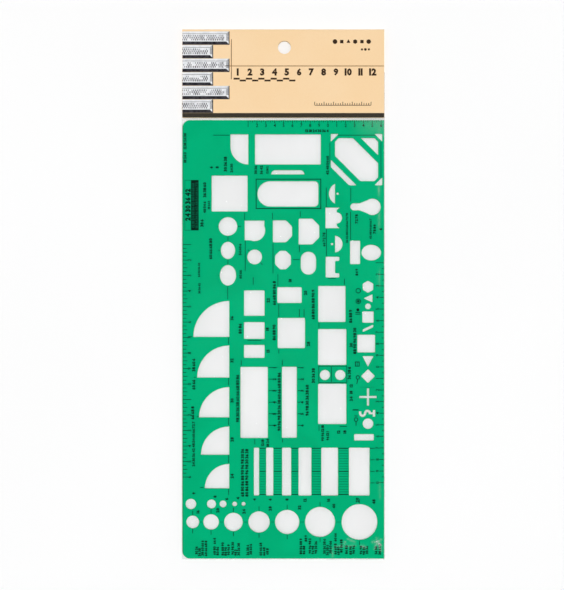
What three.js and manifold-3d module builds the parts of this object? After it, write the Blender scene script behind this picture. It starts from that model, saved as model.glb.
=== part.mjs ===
// A drafting template in its hang pack: a thin plastic plate with plan symbols cut through it, held in a
// snug film sleeve under a folded header card. Millimetres, lying flat, +Y towards the card, +Z up.
import * as THREE from "three";
import { mergeVertices } from "three/addons/utils/BufferGeometryUtils.js";
import Module from "manifold-3d";

const wasm = await Module();
wasm.setup();

// Plate
const PLATE_WIDTH = 111.1;
const PLATE_LENGTH = 241.3;
const PLATE_THICKNESS = 0.76;
const PLATE_CORNER = 4.2;

// Film sleeve
const FILM = 0.1;
const FILM_SLACK = 0.15;
const MOUTH_OVERHANG = 0.6;
const SLEEVE_TUCK = 25;

// Header card
const CARD = 0.4;
const CARD_HEIGHT = 48.7;
const CARD_TO_PLATE = 1.3;
const HANG_HOLE = 7.2;
const HANG_HOLE_DOWN = 10.1;
const HANG_HOLE_OFFSET = 0.6;

// Adhesive strips between the sleeve and the card
const TAPE = 0.1;
const TAPE_HEIGHT = 12;
const TAPE_MARGIN = 4;
const SEAT = 0.05;

// Drawing scale of the symbols, and what a pencil's lead adds to a cut-out
const INCH = 25.4;
const DRAWING_SCALE = 48;
const PENCIL = 0.72;
const CIRCLE_PENCIL = 0.65;

// Facets: how far a chord may stand off its curve, and the steps round an eased corner
const CHORD_SAG = 0.04;
const CORNER_STEPS = 2;
const CORNER_EASE = 0.5;

// Cut-outs. wide and deep are the drawn thing's full size in inches. across and down place the centre in
// millimetres from the plate's left and top edges.
const RECTANGLES = {
  tubRecess: { wide: 67, deep: 30, across: 58.1, down: 16.1 },
  showerStall: { wide: 36, deep: 36, across: 26, down: 40.4 },
  cisternTank: { wide: 9, deep: 23, across: 95.1, down: 72.8 },
  counterSink: { wide: 24, deep: 15, across: 59, down: 96.3 },
  singleSink: { wide: 20, deep: 25, across: 39.6, down: 100.7 },
  washTub: { wide: 27, deep: 30, across: 60, down: 117.2 },
  barSink: { wide: 20, deep: 16, across: 39.6, down: 115.8 },
  handBasin: { wide: 20, deep: 12, across: 39.6, down: 127.3 },
  smallFridge: { wide: 27, deep: 36, across: 82.3, down: 101.2 },
  fridge: { wide: 28, deep: 36, across: 82.5, down: 124.9 },
  largeFridge: { wide: 28, deep: 40.5, across: 82.5, down: 156.2 },
  counter: { wide: 27, deep: 72.5, across: 39.5, down: 155.4 },
  narrowCounter: { wide: 14, deep: 72.5, across: 58.9, down: 155.3 },
  cabinetBox: { wide: 17, deep: 17, across: 101.2, down: 123 },
};
const ELLIPSES = {
  roundBasin: { wide: 18, deep: 18, across: 25.1, down: 58.5 },
  smallBasin: { wide: 13.5, deep: 16.5, across: 25.1, down: 71.7 },
  ovalBasin: { wide: 15.5, deep: 20, across: 25.1, down: 85.4 },
  stool: { wide: 14, deep: 14, across: 39.8, down: 75.3 },
  closetBowl: { wide: 19, deep: 15, across: 104, down: 72.9 },
};

// Door swings: leaf widths in inches, with the hinge line across and each sill down the plate
const DOOR_LEAVES = [36, 32, 30, 28, 24];
const DOOR_SILLS = [119.3, 141.7, 163.6, 184.2, 202.7];
const DOOR_HINGES = 25.8;

// Wall slots: wall thicknesses in inches, with each slot's centre across the plate
const SLOT_WALLS = [4, 6, 8, 12, 16, 20];
const SLOT_CENTRES = [40.8, 48.1, 57.4, 67.5, 81.1, 97.4];
const SLOT_RUN = 48.5;
const SLOT_DOWN = 193.5;

// Guide circles: diameters in 64ths of an inch, in two rows
const SIXTY_FOURTH = INCH / 64;
const CIRCLE_ROWS = [
  { down: 211.3, sizes: [13, 11, 8, 5, 4], centres: [4.7, 16, 22.4, 28.8, 33.7] },
  { down: 221.2, sizes: [16, 20, 24, 28, 32, 40, 48], centres: [5.7, 15.8, 28.1, 42.2, 57.7, 75.8, 97.5] },
];

// Bath with one round end, and the shelf slot and corner seat above it
const BATH = { wide: 62, deep: 25, across: 58.1, down: 40.6 };
const BATH_CORNER = 2.2;
const SHELF = { wide: 33, deep: 3, across: 58, down: 28.7 };
const SHELF_CORNER = 2.3;
const CORNER_SEAT = { wide: 17.2, deep: 30, across: 31.4, down: 16.1 };

// Basins with a straight back
const CORNER_BASIN = { wide: 19, across: 39.7, down: 60.7 };
const CORNER_BASIN_FRONT = 24;
const CUT_BASINS = [
  { wide: 18.5, deep: 21.5, across: 55.1, down: 61.2, cut: 3.3 },
  { wide: 20, deep: 25.5, across: 69.7, down: 61.3, cut: 3.8 },
];
const OCTAGON_BASIN = { wide: 15, deep: 18, across: 55.4, down: 77, cut: 2.7 };
const LONG_BASIN = { wide: 14.5, deep: 22.5, across: 69.4, down: 78.7 };

// Corner unit: a square cut by two bars running down to the right
const CORNER_UNIT = { side: 28.3, across: 95.9, down: 21.7 };
const CORNER_UNIT_RIM = 2.3;
const CORNER_UNIT_CUT = 2;
const CORNER_UNIT_BAND = 9.9;
const CORNER_UNIT_BAR = 4.3;
const CORNER_UNIT_SLOT = 4.1;
const CORNER_UNIT_MARK = 4.3;

// Wall fixtures down the right of the middle
const WALL_BOWL = { rise: 3.3, chord: 10.9, across: 84, down: 40.5, pinAway: 1.5 };
const FLOOR_BOWL = { rise: 4.1, chord: 9.2, across: 84.1, down: 68.2, pinAway: -1.7 };
const PIN_HOLE = 1.3;
const BULB = { head: 9.1, neck: 3.8, length: 16.7, shoulder: 128, shank: 5, left: 92.5, down: 47.7 };
const NOTCHED_BASIN = { back: 78.8, front: 87.9, deep: 11.3, ear: 86.5, notch: 85, earDeep: 1.3, down: 53.8 };
const BRACKET = { back: 78.9, front: 86.4, deep: 11.4, web: 5.2, tab: 2.3, down: 80.9 };
const BURNERS = { wide: 5.6, down: 140.3, centres: [78.5, 86.9] };

// Electrical symbols in one column
const SYMBOL_COLUMN = 102.2;
const HEXAGON = { wide: 6.7, down: 91.7 };
const SIDE_TRIANGLE = { wide: 4.9, deep: 4.5, down: 98.1 };
const SMALL_DOT = { wide: 3.2, down: 102.5 };
const SQUARE = { wide: 6.2, down: 108.4 };
const SLANT = { wide: 5.8, deep: 4.2, thick: 1.5, down: 114.6 };
const DOWN_TRIANGLE = { wide: 6.1, deep: 5.8, down: 132.8 };
const DIAMOND = { wide: 7.7, down: 140.9 };
const CROSS = { wide: 9.5, arm: 1.15, down: 152.4 };
const DOUBLE_BEND = { wide: 8.9, bend: 1.35, stroke: 1.3, arm: 1.1, across: 101.7, down: 161.4 };
const DOUBLE_BEND_BAR = { wide: 1.3, deep: 3.7, stub: 0.5 };
const LARGE_DOT = { wide: 5.8, down: 167.1 };
const BAR = { wide: 10.8, deep: 3.5, across: 100, down: 174.6 };

// Heights in the stack, from the card's back face up
const SLEEVE_BOTTOM = CARD + SEAT + TAPE + SEAT;
const PLATE_BOTTOM = SLEEVE_BOTTOM + FILM + FILM_SLACK;
const SLEEVE_TOP = PLATE_BOTTOM + PLATE_THICKNESS + FILM_SLACK + FILM;
const STACK = SLEEVE_TOP + SEAT + TAPE + SEAT + CARD;

// Places along the pack, centred on the whole length
const PACK_LENGTH = MOUTH_OVERHANG + PLATE_LENGTH + CARD_TO_PLATE + CARD_HEIGHT;
const CARD_TOP = PACK_LENGTH / 2;
const CARD_FOOT = CARD_TOP - CARD_HEIGHT;
const PLATE_TOP_EDGE = CARD_FOOT - CARD_TO_PLATE;
const PLATE_FOOT = PLATE_TOP_EDGE - PLATE_LENGTH;
const SLEEVE_HEAD = CARD_FOOT + SLEEVE_TUCK;
const SLEEVE_FOOT = PLATE_FOOT - MOUTH_OVERHANG;

const X = new THREE.Vector3(1, 0, 0);
const Y = new THREE.Vector3(0, 1, 0);
const Z = new THREE.Vector3(0, 0, 1);

const MATERIALS = {
  plate: new THREE.MeshStandardMaterial({ color: 0x02af79, roughness: 0.3, metalness: 0 }),
  film: new THREE.MeshStandardMaterial({ color: 0xf4f6f6, roughness: 0.1, metalness: 0 }),
  card: new THREE.MeshStandardMaterial({ color: 0xf8d7aa, roughness: 0.7, metalness: 0 }),
  tape: new THREE.MeshStandardMaterial({ color: 0xe9e4d2, roughness: 0.5, metalness: 0 }),
};

// Size on the plate of a thing that is so many inches at full size
function drawn(inches) {
  return (inches * INCH) / DRAWING_SCALE + PENCIL;
}

function point(x, y) {
  return new THREE.Vector2(x, y);
}

// Points along an arc about (x, y), with angles in degrees
function arc(x, y, radiusX, radiusY, from, to) {
  const step = 2 * Math.acos(1 - CHORD_SAG / Math.max(radiusX, radiusY));
  const start = THREE.MathUtils.degToRad(from);
  const end = THREE.MathUtils.degToRad(to);
  const count = Math.ceil(Math.abs(end - start) / step);
  return new THREE.EllipseCurve(x, y, radiusX, radiusY, start, end, to < from).getPoints(count);
}

// Closed outline through the corners, each eased over a short length of both its sides
function eased(corners, ease = CORNER_EASE) {
  return corners.flatMap((corner, i) => {
    const before = corners.at(i - 1).clone().sub(corner).setLength(ease).add(corner);
    const after = corners[(i + 1) % corners.length].clone().sub(corner).setLength(ease).add(corner);
    return new THREE.QuadraticBezierCurve(before, corner, after).getPoints(CORNER_STEPS);
  });
}

function rectangle(wide, deep, ease) {
  const [x, y] = [wide / 2, deep / 2];
  return eased([point(-x, -y), point(x, -y), point(x, y), point(-x, y)], ease);
}

function ellipse(wide, deep) {
  return arc(0, 0, wide / 2, deep / 2, 0, 360).slice(1);
}

// Rectangle whose right corners, or all four, are cut off at 45 degrees
function cutRectangle(wide, deep, cut, allCorners) {
  const [x, y] = [wide / 2, deep / 2];
  const right = [point(x - cut, -y), point(x, cut - y), point(x, y - cut), point(x - cut, y)];
  const left = allCorners
    ? [point(cut - x, y), point(-x, y - cut), point(-x, cut - y), point(cut - x, -y)]
    : [point(-x, y), point(-x, -y)];
  return eased([...right, ...left]);
}

// Moves an outline to its place on the plate, whose own frame starts at its top left corner
function placed(outline, { across, down }) {
  return outline.map((p) => point(p.x + across, p.y - down));
}

function plainCutouts() {
  const boxes = Object.values(RECTANGLES).map((r) => placed(rectangle(drawn(r.wide), drawn(r.deep)), r));
  const rounds = Object.values(ELLIPSES).map((e) => placed(ellipse(drawn(e.wide), drawn(e.deep)), e));
  const slots = SLOT_WALLS.map((wall, i) =>
    placed(rectangle(drawn(wall), drawn(SLOT_RUN)), { across: SLOT_CENTRES[i], down: SLOT_DOWN }),
  );
  const burners = BURNERS.centres.map((across) =>
    placed(ellipse(BURNERS.wide, BURNERS.wide), { across, down: BURNERS.down }),
  );
  return [...boxes, ...rounds, ...slots, ...burners];
}

// A quarter circle with its corner at the hinge
function doorCutouts() {
  return DOOR_LEAVES.map((leaf, i) => {
    const swing = arc(0, 0, drawn(leaf), drawn(leaf), 90, 180);
    return placed([point(0, 0), ...swing], { across: DOOR_HINGES, down: DOOR_SILLS[i] });
  });
}

function circleCutouts() {
  return CIRCLE_ROWS.flatMap(({ down, sizes, centres }) =>
    sizes.map((size, i) => {
      const wide = size * SIXTY_FOURTH + CIRCLE_PENCIL;
      return placed(ellipse(wide, wide), { across: centres[i], down });
    }),
  );
}

function bathCutouts() {
  const [bathX, bathY] = [drawn(BATH.wide) / 2, drawn(BATH.deep) / 2];
  const cornerX = bathX - BATH_CORNER;
  const cornerY = bathY - BATH_CORNER;
  const bath = [
    ...arc(bathY - bathX, 0, bathY, bathY, 90, 270),
    ...arc(cornerX, -cornerY, BATH_CORNER, BATH_CORNER, -90, 0),
    ...arc(cornerX, cornerY, BATH_CORNER, BATH_CORNER, 0, 90),
  ];
  const [shelfX, shelfY] = [drawn(SHELF.wide) / 2, drawn(SHELF.deep) / 2];
  const shelfCornerY = shelfY - SHELF_CORNER;
  const shelf = [
    point(-shelfX, -shelfY),
    point(shelfX, -shelfY),
    ...arc(shelfX - SHELF_CORNER, shelfCornerY, SHELF_CORNER, SHELF_CORNER, 0, 90),
    ...arc(SHELF_CORNER - shelfX, shelfCornerY, SHELF_CORNER, SHELF_CORNER, 90, 180),
  ];
  const [seatX, seatY] = [drawn(CORNER_SEAT.wide) / 2, drawn(CORNER_SEAT.deep) / 2];
  const seatRound = 2 * seatX;
  const seat = [
    point(seatX, seatY),
    point(-seatX, seatY),
    ...arc(seatX, seatRound - seatY, seatRound, seatRound, 180, 270),
  ];
  return [placed(bath, BATH), placed(shelf, SHELF), placed(seat, CORNER_SEAT)];
}

function basinCutouts() {
  const reach = drawn(CORNER_BASIN.wide) / 2;
  const front = reach / Math.cos(THREE.MathUtils.degToRad(CORNER_BASIN_FRONT));
  const cornerBasin = [
    point(-reach, reach),
    point(-reach, -reach),
    ...arc(0, 0, front, front, -90 - CORNER_BASIN_FRONT, CORNER_BASIN_FRONT),
    point(reach, reach),
  ];
  const cutBasins = CUT_BASINS.map((b) => placed(cutRectangle(drawn(b.wide), drawn(b.deep), b.cut, false), b));
  const octagon = cutRectangle(drawn(OCTAGON_BASIN.wide), drawn(OCTAGON_BASIN.deep), OCTAGON_BASIN.cut, true);
  const round = drawn(LONG_BASIN.wide) / 2;
  const straight = drawn(LONG_BASIN.deep) / 2 - round;
  const longBasin = [...arc(0, straight, round, round, 0, 180), ...arc(0, -straight, round, round, 180, 360)];
  return [
    placed(cornerBasin, CORNER_BASIN),
    ...cutBasins,
    placed(octagon, OCTAGON_BASIN),
    placed(longBasin, LONG_BASIN),
  ];
}

// Everything is drawn about the square's centre. The bars run at 45 degrees, so a line on one of them has a
// constant x + y.
function cornerUnitCutouts() {
  const half = CORNER_UNIT.side / 2;
  const inner = half - CORNER_UNIT_RIM;
  const cut = inner - CORNER_UNIT_CUT;
  const band = CORNER_UNIT_BAND;
  const beyond = band + CORNER_UNIT_BAR;
  const opening = [
    point(-cut, inner),
    point(band - inner, inner),
    point(inner, band - inner),
    point(inner, -cut),
    point(cut, -inner),
    point(inner - band, -inner),
    point(-inner, inner - band),
    point(-inner, cut),
  ];
  const triangle = [
    point(beyond - inner, inner),
    point(cut, inner),
    point(inner, cut),
    point(inner, beyond - inner),
  ];
  const slotEnd = beyond + CORNER_UNIT_SLOT;
  const slot = [
    point(half - beyond, -half),
    point(-half, half - beyond),
    point(-half, half - slotEnd),
    point(half - slotEnd, -half),
  ];
  const mark = half - CORNER_UNIT_MARK;
  const marks = [
    [point(-half, half), point(-half, mark), point(-mark, half)],
    [point(half, half), point(mark, half), point(half, mark)],
    [point(half, -half), point(half, -mark), point(mark, -half)],
  ];
  return [opening, triangle, slot, ...marks].map((corners) => placed(eased(corners), CORNER_UNIT));
}

// A segment of a circle beside its fixing pin; across is where the straight side lies
function bowlCutouts() {
  return [
    { ...WALL_BOWL, facing: 180 },
    { ...FLOOR_BOWL, facing: 0 },
  ].flatMap(({ rise, chord, facing, pinAway, ...place }) => {
    const radius = (chord * chord) / (8 * rise) + rise / 2;
    const spread = THREE.MathUtils.radToDeg(Math.acos(1 - rise / radius));
    const side = Math.cos(THREE.MathUtils.degToRad(facing));
    const segment = arc(side * (rise - radius), 0, radius, radius, facing - spread, facing + spread);
    const pin = ellipse(PIN_HOLE, PIN_HOLE).map((p) => point(p.x + pinAway, p.y));
    return [placed(segment, place), placed(pin, place)];
  });
}

function wallFixtureCutouts() {
  const head = BULB.head / 2;
  const neck = BULB.neck / 2;
  const tip = head - BULB.length;
  const bulb = [
    ...arc(0, 0, head, head, -BULB.shoulder, BULB.shoulder),
    point(tip + BULB.shank, neck),
    ...arc(tip + neck, 0, neck, neck, 90, 270),
    point(tip + BULB.shank, -neck),
  ];
  const basinHalf = NOTCHED_BASIN.deep / 2;
  const bump = basinHalf - 2 * NOTCHED_BASIN.earDeep;
  const ear = basinHalf - NOTCHED_BASIN.earDeep;
  const basin = [
    point(NOTCHED_BASIN.back, basinHalf),
    point(NOTCHED_BASIN.back, -basinHalf),
    point(NOTCHED_BASIN.ear, -basinHalf),
    point(NOTCHED_BASIN.notch, -ear),
    ...arc(NOTCHED_BASIN.notch, 0, NOTCHED_BASIN.front - NOTCHED_BASIN.notch, bump, -90, 90),
    point(NOTCHED_BASIN.notch, ear),
    point(NOTCHED_BASIN.ear, basinHalf),
  ];
  const bracketHalf = BRACKET.deep / 2;
  const web = BRACKET.back + BRACKET.web;
  const tab = bracketHalf - BRACKET.tab;
  const bracket = eased([
    point(BRACKET.back, bracketHalf),
    point(BRACKET.back, -bracketHalf),
    point(BRACKET.front, -bracketHalf),
    point(BRACKET.front, -tab),
    point(web, -tab),
    point(web, tab),
    point(BRACKET.front, tab),
    point(BRACKET.front, bracketHalf),
  ]);
  return [
    placed(bulb, { across: BULB.left - tip, down: BULB.down }),
    placed(basin, { across: 0, down: NOTCHED_BASIN.down }),
    placed(bracket, { across: 0, down: BRACKET.down }),
  ];
}

// A regular outline with its first corner at the given angle
function regular(sides, wide, firstAngle) {
  const corners = Array.from({ length: sides }, (_, i) => {
    const angle = THREE.MathUtils.degToRad(firstAngle + (360 * i) / sides);
    return point((wide / 2) * Math.cos(angle), (wide / 2) * Math.sin(angle));
  });
  return eased(corners);
}

function cross(wide, arm) {
  const [far, near] = [wide / 2, arm / 2];
  const centre = point(0, 0);
  return [0, 90, 180, 270].flatMap((turn) => {
    const angle = THREE.MathUtils.degToRad(turn);
    return [point(far, -near), point(far, near), point(near, near)].map((p) => p.rotateAround(centre, angle));
  });
}

// A stroke that runs down, round one bend, back over a second bend and along a short stub to an upright bar
function doubleBend({ wide, bend, stroke, arm }, bar) {
  const outer = bend + stroke / 2;
  const inner = bend - stroke / 2;
  const first = outer - wide / 2;
  const second = first + 2 * bend;
  const [far, near, end] = [wide / 2, wide / 2 - bar.wide, bar.deep / 2];
  const stubAngle = THREE.MathUtils.radToDeg(Math.asin(bar.stub / outer));
  return [
    point(first - inner, arm),
    point(first - outer, arm),
    ...arc(first, 0, outer, outer, 180, 360),
    ...arc(second, 0, inner, inner, 180, 0).slice(1),
    point(second + inner, -bar.stub),
    point(near, -bar.stub),
    point(near, -end),
    point(far, -end),
    point(far, end),
    point(near, end),
    point(near, bar.stub),
    ...arc(second, 0, outer, outer, stubAngle, 180),
    ...arc(first, 0, inner, inner, 360, 180).slice(1),
  ];
}

function symbolCutouts() {
  const slant = [
    point(-SLANT.wide / 2, -SLANT.deep / 2),
    point(SLANT.wide / 2, SLANT.deep / 2 - SLANT.thick),
    point(SLANT.wide / 2, SLANT.deep / 2),
    point(-SLANT.wide / 2, SLANT.thick - SLANT.deep / 2),
  ];
  const [sideX, sideY] = [SIDE_TRIANGLE.wide / 2, SIDE_TRIANGLE.deep / 2];
  const [downX, downY] = [DOWN_TRIANGLE.wide / 2, DOWN_TRIANGLE.deep / 2];
  const column = [
    [regular(6, HEXAGON.wide, 90), HEXAGON],
    [eased([point(-sideX, 0), point(sideX, -sideY), point(sideX, sideY)]), SIDE_TRIANGLE],
    [ellipse(SMALL_DOT.wide, SMALL_DOT.wide), SMALL_DOT],
    [rectangle(SQUARE.wide, SQUARE.wide), SQUARE],
    [eased(slant), SLANT],
    [eased([point(0, -downY), point(downX, downY), point(-downX, downY)]), DOWN_TRIANGLE],
    [regular(4, DIAMOND.wide, 90), DIAMOND],
    [cross(CROSS.wide, CROSS.arm), CROSS],
    [ellipse(LARGE_DOT.wide, LARGE_DOT.wide), LARGE_DOT],
  ];
  const symbols = column.map(([outline, { down }]) => placed(outline, { across: SYMBOL_COLUMN, down }));
  return [
    ...symbols,
    placed(doubleBend(DOUBLE_BEND, DOUBLE_BEND_BAR), DOUBLE_BEND),
    placed(rectangle(BAR.wide, BAR.deep), BAR),
  ];
}

// The blank has round corners on its left and square ones on its right
function plateBlank() {
  return [
    point(PLATE_WIDTH, 0),
    ...arc(PLATE_CORNER, -PLATE_CORNER, PLATE_CORNER, PLATE_CORNER, 90, 180),
    ...arc(PLATE_CORNER, PLATE_CORNER - PLATE_LENGTH, PLATE_CORNER, PLATE_CORNER, 180, 270),
    point(PLATE_WIDTH, -PLATE_LENGTH),
  ];
}

function makePlate() {
  const blank = new THREE.Shape(plateBlank());
  const cutouts = [
    ...plainCutouts(),
    ...doorCutouts(),
    ...circleCutouts(),
    ...bathCutouts(),
    ...basinCutouts(),
    ...cornerUnitCutouts(),
    ...bowlCutouts(),
    ...wallFixtureCutouts(),
    ...symbolCutouts(),
  ];
  blank.holes = cutouts.map((outline) => new THREE.Path(outline));
  const geometry = new THREE.ExtrudeGeometry(blank, { depth: PLATE_THICKNESS, bevelEnabled: false });
  const mesh = new THREE.Mesh(geometry, MATERIALS.plate);
  mesh.name = "template_plate";
  mesh.position.set(-PLATE_WIDTH / 2, PLATE_TOP_EDGE, PLATE_BOTTOM);
  return mesh;
}

// Section of a flat tube with round sides, whose inside clears the plate's long edges by the slack
function sleeveSection(wall) {
  const bore = PLATE_THICKNESS / 2 + FILM_SLACK;
  const clearOfEdge = Math.sqrt(bore * bore - (PLATE_THICKNESS / 2) ** 2);
  const flat = PLATE_WIDTH / 2 + FILM_SLACK - clearOfEdge;
  const radius = bore + wall;
  return [...arc(flat, 0, radius, radius, -90, 90), ...arc(-flat, 0, radius, radius, 90, 270)];
}

function makeSleeve() {
  const section = new THREE.Shape(sleeveSection(FILM));
  section.holes = [new THREE.Path(sleeveSection(0))];
  const length = SLEEVE_HEAD - SLEEVE_FOOT;
  const geometry = new THREE.ExtrudeGeometry(section, { depth: length, bevelEnabled: false });
  geometry.applyMatrix4(new THREE.Matrix4().makeBasis(X, Z, Y.clone().negate()));
  const mesh = new THREE.Mesh(geometry, MATERIALS.film);
  mesh.name = "poly_bag";
  mesh.position.set(0, SLEEVE_HEAD, (SLEEVE_BOTTOM + SLEEVE_TOP) / 2);
  return mesh;
}

function solidOf(geometry) {
  const bare = geometry.clone();
  bare.deleteAttribute("normal");
  bare.deleteAttribute("uv");
  const merged = mergeVertices(bare);
  const vertProperties = merged.attributes.position.array;
  const triVerts = new Uint32Array(merged.index.array);
  return new wasm.Manifold(new wasm.Mesh({ numProp: 3, vertProperties, triVerts }));
}

function geometryOf(solid) {
  const { vertProperties, triVerts } = solid.getMesh();
  const geometry = new THREE.BufferGeometry();
  geometry.setAttribute("position", new THREE.BufferAttribute(vertProperties, 3));
  geometry.setIndex(new THREE.BufferAttribute(triVerts, 1));
  geometry.computeVertexNormals();
  return geometry;
}

// Two panels joined by a round fold along the top, drawn from the side and run across the pack's width
function makeCard() {
  const outer = STACK / 2;
  const inner = outer - CARD;
  const fold = CARD_TOP - outer;
  const profile = new THREE.Shape([
    point(CARD_FOOT, 0),
    ...arc(fold, outer, outer, outer, -90, 90),
    point(CARD_FOOT, STACK),
    point(CARD_FOOT, STACK - CARD),
    ...arc(fold, outer, inner, inner, 90, -90),
    point(CARD_FOOT, CARD),
  ]);
  const folded = new THREE.ExtrudeGeometry(profile, { depth: PLATE_WIDTH, bevelEnabled: false });
  folded.applyMatrix4(new THREE.Matrix4().makeBasis(Y, Z, X));
  folded.translate(-PLATE_WIDTH / 2, 0, 0);
  const punch = new THREE.ExtrudeGeometry(new THREE.Shape(ellipse(HANG_HOLE, HANG_HOLE)), {
    depth: 3 * STACK,
    bevelEnabled: false,
  });
  punch.translate(HANG_HOLE_OFFSET, CARD_TOP - HANG_HOLE_DOWN, -STACK);
  const mesh = new THREE.Mesh(geometryOf(solidOf(folded).subtract(solidOf(punch))), MATERIALS.card);
  mesh.name = "header_card";
  return mesh;
}

function makeTape(name, bottom) {
  const width = PLATE_WIDTH - 2 * TAPE_MARGIN;
  const mesh = new THREE.Mesh(new THREE.BoxGeometry(width, TAPE_HEIGHT, TAPE), MATERIALS.tape);
  mesh.name = name;
  mesh.position.set(0, CARD_FOOT + TAPE_MARGIN + TAPE_HEIGHT / 2, bottom + TAPE / 2);
  return mesh;
}

const pack = new THREE.Group();
pack.add(makeCard());
pack.add(makeSleeve());
pack.add(makeTape("back_tape", CARD + SEAT));
pack.add(makeTape("front_tape", SLEEVE_TOP + SEAT));
pack.add(makePlate());

export default pack;
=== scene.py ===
"""The looks of a drafting template in its hang pack. Sizes here are in mm, and Blender's are in metres."""
import itertools
import math

import bmesh
import bpy
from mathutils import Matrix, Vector, noise


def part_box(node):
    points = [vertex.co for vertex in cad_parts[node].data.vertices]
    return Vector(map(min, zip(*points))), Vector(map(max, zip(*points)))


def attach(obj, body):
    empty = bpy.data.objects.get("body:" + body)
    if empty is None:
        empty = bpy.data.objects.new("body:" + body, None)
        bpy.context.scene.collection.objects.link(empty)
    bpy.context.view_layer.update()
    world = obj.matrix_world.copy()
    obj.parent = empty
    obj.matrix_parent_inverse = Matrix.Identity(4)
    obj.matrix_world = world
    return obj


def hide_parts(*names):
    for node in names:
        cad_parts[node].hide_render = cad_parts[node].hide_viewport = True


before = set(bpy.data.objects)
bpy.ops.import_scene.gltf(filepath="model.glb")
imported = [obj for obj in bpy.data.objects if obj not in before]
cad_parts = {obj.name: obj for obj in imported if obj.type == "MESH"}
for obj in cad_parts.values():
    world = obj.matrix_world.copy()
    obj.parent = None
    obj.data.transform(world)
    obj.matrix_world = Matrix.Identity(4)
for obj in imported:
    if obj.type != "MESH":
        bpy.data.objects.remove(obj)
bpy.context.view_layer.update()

# A millimetre in metres, and inches in millimetres
MM = 0.001
INCH = 25.4
QUARTER_INCH = INCH / 4

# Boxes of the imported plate, card and film
plate_low, plate_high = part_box("template_plate")
card_low, card_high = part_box("header_card")
film_low, film_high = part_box("poly_bag")
PLATE_WIDE = (plate_high.x - plate_low.x) / MM
CARD_WIDE = (card_high.x - card_low.x) / MM

# Printing stands this far clear of its surface, and is this thick
INK_GAP = 0.008
INK_THICK = 0.015

# Corners of a node's mesh, and of printing, that lie nearer than this become one
WELD = 0.001
PRINT_WELD = 0.0005


# Node helpers

def feed(tree, socket, value):
    if isinstance(value, bpy.types.NodeSocket):
        tree.links.new(value, socket)
    else:
        socket.default_value = value


def add(tree, kind, settings=None, **sockets):
    node = tree.nodes.new(kind)
    for name, value in (settings or {}).items():
        setattr(node, name, value)
    for name, value in sockets.items():
        feed(tree, node.inputs[name.replace("_", " ")], value)
    return node


def arithmetic(tree, operation, *values):
    node = add(tree, "ShaderNodeMath", {"operation": operation})
    for socket, value in zip(node.inputs, values):
        feed(tree, socket, value)
    return node.outputs[0]


# A mix node's sockets for its share and two colours, and for the colour that it gives
COLOUR_INPUTS = (0, 6, 7)
COLOUR_OUTPUT = 2


def between(tree, share, first, second):
    """A colour that goes from the first to the second as share goes from 0 to 1."""
    node = add(tree, "ShaderNodeMix", {"data_type": "RGBA"})
    for index, value in zip(COLOUR_INPUTS, (share, first, second)):
        feed(tree, node.inputs[index], value)
    return node.outputs[COLOUR_OUTPUT]


def mottle(tree, size, stretch=(1, 1, 1), detail=2.0):
    """Noise whose blotches are about size mm across, drawn out by stretch."""
    place = add(tree, "ShaderNodeTexCoord").outputs["Object"]
    scale = [1 / (size * MM * along) for along in stretch]
    mapped = add(tree, "ShaderNodeMapping", Vector=place, Scale=scale)
    return add(tree, "ShaderNodeTexNoise", Vector=mapped.outputs[0], Scale=1.0, Detail=detail).outputs[0]


def spread(tree, value, low=0.0, high=1.0, start=0.3, stop=0.7):
    """Goes smoothly from low to high as a value goes from start to stop, by default the reach of noise."""
    node = add(tree, "ShaderNodeMapRange", {"interpolation_type": "SMOOTHSTEP"})
    for socket, number in zip(node.inputs, (value, start, stop, low, high)):
        feed(tree, socket, number)
    return node.outputs[0]


def spread_over(tree, place, reach, low, high):
    """Goes smoothly from low to high over a reach along one axis."""
    return spread(tree, place, low, high, reach[0] * MM, reach[1] * MM)


def weighed(tree, first, second, share):
    """A share of the first value and the rest of the second."""
    rest = arithmetic(tree, "MULTIPLY", second, 1 - share)
    return arithmetic(tree, "MULTIPLY_ADD", first, share, rest)


def wall_share(tree):
    """1 on upright faces such as cut edges, 0 on level ones."""
    normal = add(tree, "ShaderNodeNewGeometry").outputs["Normal"]
    level = add(tree, "ShaderNodeSeparateXYZ", Vector=normal).outputs["Z"]
    return spread(tree, arithmetic(tree, "ABSOLUTE", level), low=1.0, high=0.0, start=0.2, stop=0.8)


def bump(tree, height, depth, strength):
    """Normals that follow a height, so many mm deep."""
    return add(tree, "ShaderNodeBump", Height=height, Distance=depth * MM, Strength=strength).outputs[0]


def mixed(tree, share, first, second):
    """A shader that goes from the first to the second as share goes from 0 to 1."""
    node = add(tree, "ShaderNodeMixShader", Fac=share)
    for socket, shader in zip(node.inputs[1:], (first, second)):
        feed(tree, socket, shader.outputs[0])
    return node


def new_material(name):
    made = bpy.data.materials.new(name)
    made.use_nodes = True
    return made, made.node_tree, made.node_tree.nodes["Principled BSDF"]


def put_on(tree, shader):
    """Makes a shader the one that its material shows."""
    feed(tree, tree.nodes["Material Output"].inputs["Surface"], shader.outputs[0])


# Screen colours: the highest level, the slope of the straight part, where that ends, and the curve after it
FULL_LEVEL = 255
SCREEN_SLOPE = 12.92
SCREEN_KNEE = 0.04045
SCREEN_LIFT = 0.055
SCREEN_POWER = 2.4


def srgb(*levels):
    """A screen colour as the linear colour that a shader takes."""
    linear = []
    for level in levels:
        share = level / FULL_LEVEL
        curve = ((share + SCREEN_LIFT) / (1 + SCREEN_LIFT)) ** SCREEN_POWER
        linear.append(share / SCREEN_SLOPE if share <= SCREEN_KNEE else curve)
    return (*linear, 1.0)


# Materials

# The plate: its sheet where deepest and freshest, its cut edges, and light that has come through it
GREEN_DEEP = (0.0010, 0.544, 0.242, 1)
GREEN_FRESH = (0.0018, 0.602, 0.273, 1)
GREEN_EDGE = (0.0006, 0.2, 0.08, 1)
GREEN_THROUGH = (0.002, 0.72, 0.36, 1)
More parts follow.
